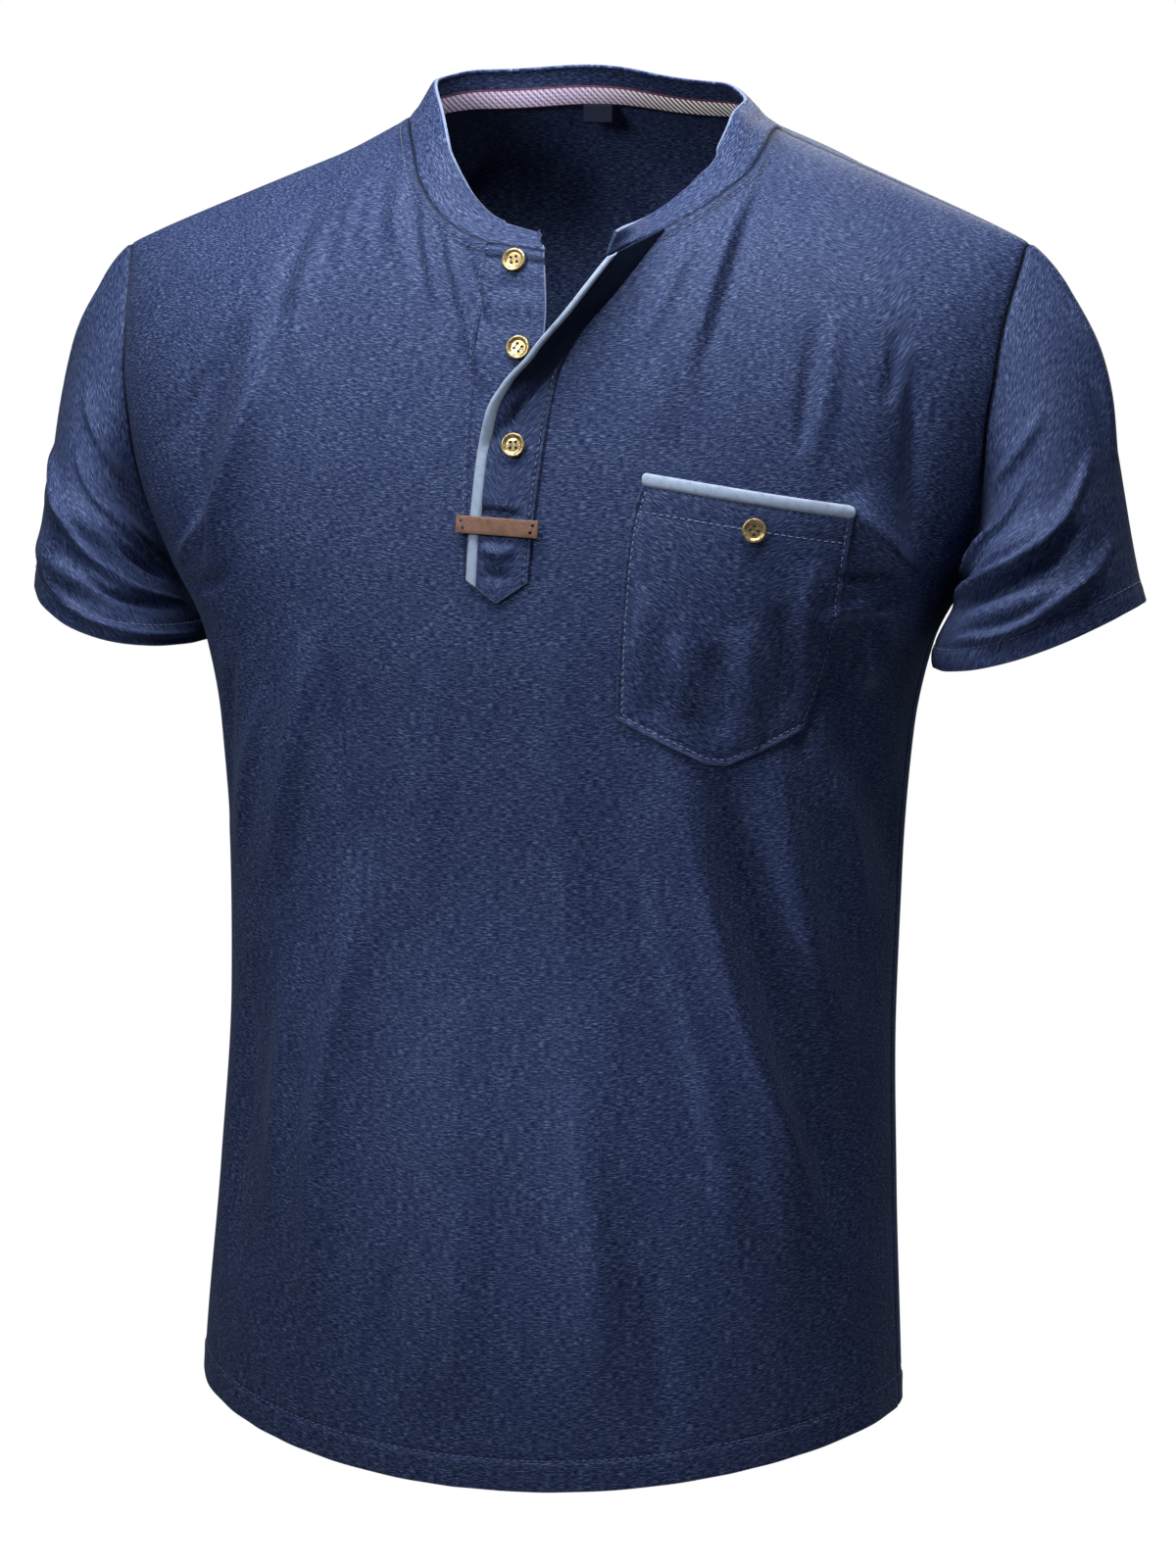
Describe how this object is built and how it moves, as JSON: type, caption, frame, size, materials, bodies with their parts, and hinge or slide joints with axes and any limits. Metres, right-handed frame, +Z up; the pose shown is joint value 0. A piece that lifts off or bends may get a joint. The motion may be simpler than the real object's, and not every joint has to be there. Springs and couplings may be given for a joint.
{
  "type": "short-sleeved henley t-shirt",
  "caption": "Short-sleeved henley t-shirt, hollow and rounded as worn, with a band collar, a part-open button placket, contrast piping and a buttoned chest pocket.",
  "frame": {"origin": "middle of the neck opening, just above the neck ends of the shoulder seams, where the shoulders hold the garment", "axes": "+Z up, -Y towards the front, +X towards the wearer's left"},
  "size_m": [0.5741, 0.251, 0.6915],
  "materials": {
    "jersey": "heathered navy cotton jersey",
    "piping": "pale blue woven binding",
    "leather": "smooth brown leather",
    "button": "polished amber horn imitation",
    "tape": "diagonal striped cotton twill tape",
    "label": "plain dark woven label"
  },
  "bodies": {
    "root": {"front_panel": "jersey", "back_panel": "jersey", "sleeve_left": "jersey", "sleeve_right": "jersey", "collar_band": "jersey", "under_placket": "jersey", "over_placket": "jersey", "pocket": "jersey", "placket_trim": "piping", "pocket_trim": "piping", "leather_tab": "leather", "button_top": "button", "button_middle": "button", "button_lower": "button", "pocket_button": "button", "neck_tape": "tape", "neck_label": "label"}
  },
  "joints": []
}
